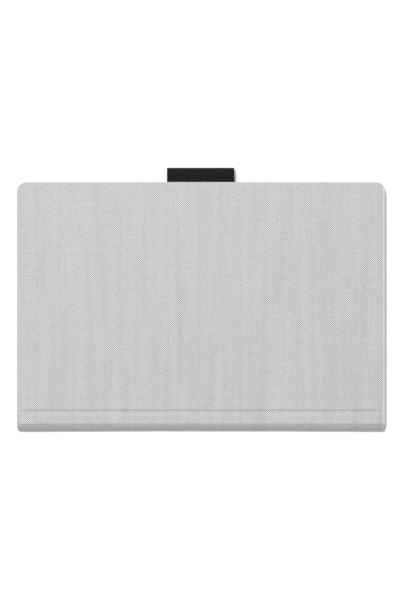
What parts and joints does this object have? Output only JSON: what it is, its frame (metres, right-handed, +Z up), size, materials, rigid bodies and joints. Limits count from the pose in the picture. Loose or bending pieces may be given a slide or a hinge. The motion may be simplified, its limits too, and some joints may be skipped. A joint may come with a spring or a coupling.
{
  "type": "tablet keyboard case",
  "caption": "Fabric folio case for a tablet, with a folding spine, built-in keyboard and touchpad, kickstand and elastic pen loop.",
  "frame": {"origin": "centre of the shut case's plan, without the pen loop, on its underside", "axes": "+X along the width, +Y towards the free edge with the pen loop, +Z up through the shut case; keys face -Z"},
  "size_m": [0.295, 0.2113, 0.0174],
  "materials": {
    "outer_fabric": "light grey plain weave, matt",
    "lining": "charcoal microfibre, matt",
    "elastic": "black ribbed elastic, matt",
    "shell_plastic": "black, fine spark texture",
    "trim_plastic": "dark grey satin",
    "stiffener": "black fibre board",
    "keycap": "black, soft matt",
    "touchpad_surface": "etched dark glass",
    "aluminium_plate": "bead-blasted",
    "hinge_steel": "brushed",
    "screw_steel": "zinc plated",
    "magnet": "nickel plated",
    "rubber": "black, matt",
    "membrane_film": "clear film with silver tracks",
    "silicone": "translucent white",
    "link_plastic": "natural white",
    "circuit_board": "green solder mask",
    "battery_foil": "pouch foil",
    "light_pipe": "clear"
  },
  "bodies": {
    "tablet_half": {"back_fabric": "outer_fabric", "tablet_tray": "shell_plastic", "tray_lining": "lining", "camera_trim": "trim_plastic", "kickstand_hinge_leaf": "hinge_steel", "leaf_screws": "screw_steel", "kickstand_hinge_pin": "hinge_steel", "tray_magnets": "magnet"},
    "kickstand": {"kickstand_plate": "aluminium_plate", "kickstand_fabric": "outer_fabric", "kickstand_foot": "rubber"},
    "spine_lower": {"spine_lower_fabric": "outer_fabric", "spine_lower_board": "stiffener", "spine_lower_lining": "lining"},
    "spine_upper": {"spine_upper_fabric": "outer_fabric", "spine_upper_board": "stiffener", "spine_upper_lining": "lining"},
    "hinge_strip": {"strip_fabric": "outer_fabric", "strip_board": "stiffener", "strip_magnets": "magnet", "strip_lining": "lining"},
    "keyboard_half": {"keyboard_fabric": "outer_fabric", "base_plate": "aluminium_plate", "deck_screws": "screw_steel", "keyboard_deck": "shell_plastic", "membrane_circuit": "membrane_film", "dome_sheet": "silicone", "scissor_links": "link_plastic", "touchpad_board": "circuit_board", "main_board": "circuit_board", "touchpad_ribbon": "membrane_film", "battery_cells": "battery_foil", "keyboard_magnets": "magnet", "charging_port": "hinge_steel", "power_switch_body": "trim_plastic", "status_light_pipes": "light_pipe", "deck_bumpers": "rubber", "pen_loop": "elastic"},
    "touchpad": {"touchpad": "touchpad_surface"},
    "power_switch": {"power_switch_slider": "trim_plastic"},
    "left_modifier_keys": {"left_modifier_keys": "keycap"},
    "space_bar": {"space_bar": "keycap"},
    "right_modifier_keys": {"right_modifier_keys": "keycap"},
    "left_arrow_key": {"left_arrow_key": "keycap"},
    "down_arrow_key": {"down_arrow_key": "keycap"},
    "up_arrow_key": {"up_arrow_key": "keycap"},
    "right_arrow_key": {"right_arrow_key": "keycap"},
    "left_shift_key": {"left_shift_key": "keycap"},
    "lower_letter_keys": {"lower_letter_keys": "keycap"},
    "right_shift_key": {"right_shift_key": "keycap"},
    "caps_lock_key": {"caps_lock_key": "keycap"},
    "home_row_keys": {"home_row_keys": "keycap"},
    "enter_key": {"enter_key": "keycap"},
    "tab_key": {"tab_key": "keycap"},
    "upper_letter_keys": {"upper_letter_keys": "keycap"},
    "number_row_keys": {"number_row_keys": "keycap"},
    "backspace_key": {"backspace_key": "keycap"},
    "function_row_keys": {"function_row_keys": "keycap"}
  },
  "joints": [
    {"name": "lower_spine_fold", "type": "hinge", "parent": "tablet_half", "child": "spine_lower", "pos_m": [0, -0.0939, 0.00035], "axis": [1, 0, 0], "range_deg": [0, 55.4]},
    {"name": "spine_ridge_fold", "type": "hinge", "parent": "spine_lower", "child": "spine_upper", "pos_m": [0, -0.09965, 0.0087], "axis": [1, 0, 0], "range_deg": [0, 69.2]},
    {"name": "upper_spine_fold", "type": "hinge", "parent": "spine_upper", "child": "hinge_strip", "pos_m": [0, -0.0939, 0.01705], "axis": [1, 0, 0], "range_deg": [0, 55.4]},
    {"name": "cover_crease", "type": "hinge", "parent": "hinge_strip", "child": "keyboard_half", "pos_m": [0, -0.0842, 0.0175], "axis": [1, 0, 0], "range_deg": [0, 135]},
    {"name": "kickstand_hinge", "type": "hinge", "parent": "tablet_half", "child": "kickstand", "pos_m": [0, 0.014, 0.00125], "axis": [1, 0, 0], "range_deg": [0, 120]},
    {"name": "touchpad_press", "type": "slide", "parent": "keyboard_half", "child": "touchpad", "axis": [0, 0, 1], "range_m": [0, 0.0003]},
    {"name": "power_switch_slide", "type": "slide", "parent": "keyboard_half", "child": "power_switch", "axis": [0, -1, 0], "range_m": [0, 0.0025]},
    {"name": "left_modifier_keys_press", "type": "slide", "parent": "keyboard_half", "child": "left_modifier_keys", "axis": [0, 0, 1], "range_m": [0, 0.0012], "deforming": ["dome_sheet", "scissor_links"]},
    {"name": "space_bar_press", "type": "slide", "parent": "keyboard_half", "child": "space_bar", "axis": [0, 0, 1], "range_m": [0, 0.0012], "deforming": ["dome_sheet", "scissor_links"]},
    {"name": "right_modifier_keys_press", "type": "slide", "parent": "keyboard_half", "child": "right_modifier_keys", "axis": [0, 0, 1], "range_m": [0, 0.0012], "deforming": ["dome_sheet", "scissor_links"]},
    {"name": "left_arrow_key_press", "type": "slide", "parent": "keyboard_half", "child": "left_arrow_key", "axis": [0, 0, 1], "range_m": [0, 0.0012], "deforming": ["dome_sheet", "scissor_links"]},
    {"name": "down_arrow_key_press", "type": "slide", "parent": "keyboard_half", "child": "down_arrow_key", "axis": [0, 0, 1], "range_m": [0, 0.0012], "deforming": ["dome_sheet", "scissor_links"]},
    {"name": "up_arrow_key_press", "type": "slide", "parent": "keyboard_half", "child": "up_arrow_key", "axis": [0, 0, 1], "range_m": [0, 0.0012], "deforming": ["dome_sheet", "scissor_links"]},
    {"name": "right_arrow_key_press", "type": "slide", "parent": "keyboard_half", "child": "right_arrow_key", "axis": [0, 0, 1], "range_m": [0, 0.0012], "deforming": ["dome_sheet", "scissor_links"]},
    {"name": "left_shift_key_press", "type": "slide", "parent": "keyboard_half", "child": "left_shift_key", "axis": [0, 0, 1], "range_m": [0, 0.0012], "deforming": ["dome_sheet", "scissor_links"]},
    {"name": "lower_letter_keys_press", "type": "slide", "parent": "keyboard_half", "child": "lower_letter_keys", "axis": [0, 0, 1], "range_m": [0, 0.0012], "deforming": ["dome_sheet", "scissor_links"]},
    {"name": "right_shift_key_press", "type": "slide", "parent": "keyboard_half", "child": "right_shift_key", "axis": [0, 0, 1], "range_m": [0, 0.0012], "deforming": ["dome_sheet", "scissor_links"]},
    {"name": "caps_lock_key_press", "type": "slide", "parent": "keyboard_half", "child": "caps_lock_key", "axis": [0, 0, 1], "range_m": [0, 0.0012], "deforming": ["dome_sheet", "scissor_links"]},
    {"name": "home_row_keys_press", "type": "slide", "parent": "keyboard_half", "child": "home_row_keys", "axis": [0, 0, 1], "range_m": [0, 0.0012], "deforming": ["dome_sheet", "scissor_links"]},
    {"name": "enter_key_press", "type": "slide", "parent": "keyboard_half", "child": "enter_key", "axis": [0, 0, 1], "range_m": [0, 0.0012], "deforming": ["dome_sheet", "scissor_links"]},
    {"name": "tab_key_press", "type": "slide", "parent": "keyboard_half", "child": "tab_key", "axis": [0, 0, 1], "range_m": [0, 0.0012], "deforming": ["dome_sheet", "scissor_links"]},
    {"name": "upper_letter_keys_press", "type": "slide", "parent": "keyboard_half", "child": "upper_letter_keys", "axis": [0, 0, 1], "range_m": [0, 0.0012], "deforming": ["dome_sheet", "scissor_links"]},
    {"name": "number_row_keys_press", "type": "slide", "parent": "keyboard_half", "child": "number_row_keys", "axis": [0, 0, 1], "range_m": [0, 0.0012], "deforming": ["dome_sheet", "scissor_links"]},
    {"name": "backspace_key_press", "type": "slide", "parent": "keyboard_half", "child": "backspace_key", "axis": [0, 0, 1], "range_m": [0, 0.0012], "deforming": ["dome_sheet", "scissor_links"]},
    {"name": "function_row_keys_press", "type": "slide", "parent": "keyboard_half", "child": "function_row_keys", "axis": [0, 0, 1], "range_m": [0, 0.0012], "deforming": ["dome_sheet", "scissor_links"]}
  ]
}
